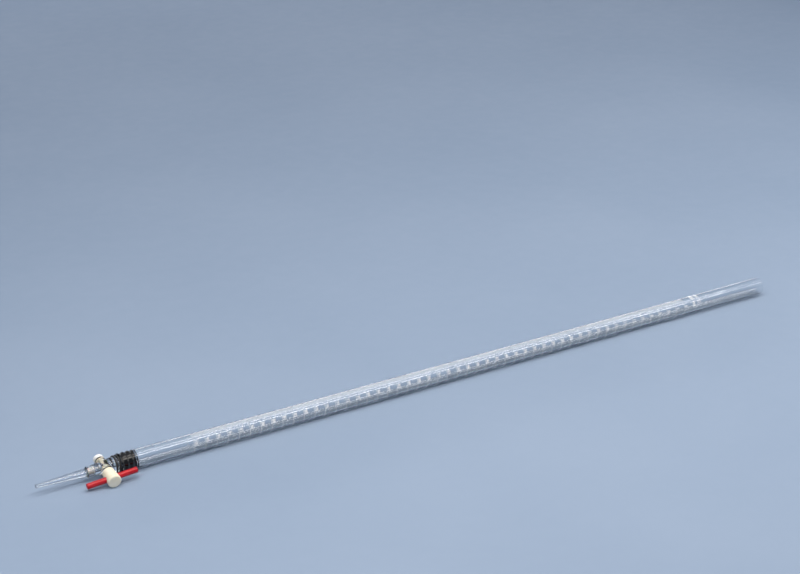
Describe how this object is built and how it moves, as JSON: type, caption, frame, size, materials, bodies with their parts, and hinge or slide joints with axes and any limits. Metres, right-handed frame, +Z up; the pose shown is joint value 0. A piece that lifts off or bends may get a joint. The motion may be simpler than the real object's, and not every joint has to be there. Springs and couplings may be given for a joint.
{
  "type": "burette",
  "caption": "Graduated glass burette lying on its side, with a demountable stopcock, cross handle and drawn jet tip.",
  "frame": {"origin": "centre of the bounding box in plan, on the surface the burette lies on", "axes": "+X along the tube from the jet tip to the open mouth, +Z up, -Y towards the plug's head and handle"},
  "size_m": [0.822, 0.0406, 0.0186],
  "materials": {
    "glass": "clear polished borosilicate",
    "sleeve": "glossy black moulding",
    "black_rubber": "satin",
    "ptfe": "waxy cream PTFE",
    "white_plastic": "satin white",
    "red_plastic": "satin red",
    "soft_seal": "soft translucent"
  },
  "bodies": {
    "tube": {"tube": "glass"},
    "stopcock": {"coupling_sleeve": "sleeve", "tube_seal_ring": "black_rubber", "body_seal_ring": "black_rubber", "neck_ring_lower": "black_rubber", "neck_ring_upper": "black_rubber", "coupling_gasket": "soft_seal", "stopcock_body": "glass"},
    "plug": {"plug": "ptfe", "handle_bar": "red_plastic", "slip_washer": "ptfe"},
    "tension_ring": {"tension_ring": "black_rubber"},
    "nut": {"retaining_nut": "white_plastic"},
    "tip": {"jet_tip": "glass", "tip_bush": "soft_seal"}
  },
  "joints": [
    {"name": "coupling_turn", "type": "hinge", "parent": "tube", "child": "stopcock", "pos_m": [-0.32529, 0.00419, 0.0093], "axis": [1, 0, 0], "continuous": true},
    {"name": "plug_turn", "type": "hinge", "parent": "stopcock", "child": "plug", "pos_m": [-0.34619, 0.00419, 0.0093], "axis": [0, -0.9914, -0.1308], "continuous": true},
    {"name": "nut_travel", "type": "slide", "parent": "plug", "child": "tension_ring", "axis": [0, 0.9914, 0.1308], "range_m": [0, 0.003]},
    {"name": "nut_turn", "type": "hinge", "parent": "tension_ring", "child": "nut", "pos_m": [-0.34619, 0.00419, 0.0093], "axis": [0, 0.9914, 0.1308], "range_deg": [0, 1090]},
    {"name": "tip_pull", "type": "slide", "parent": "stopcock", "child": "tip", "axis": [-1, 0, 0], "range_m": [0, 0.0085]}
  ],
  "couplings": [
    {"joint": "nut_turn", "follows": "nut_travel", "rad_per_m": 6283.2}
  ]
}
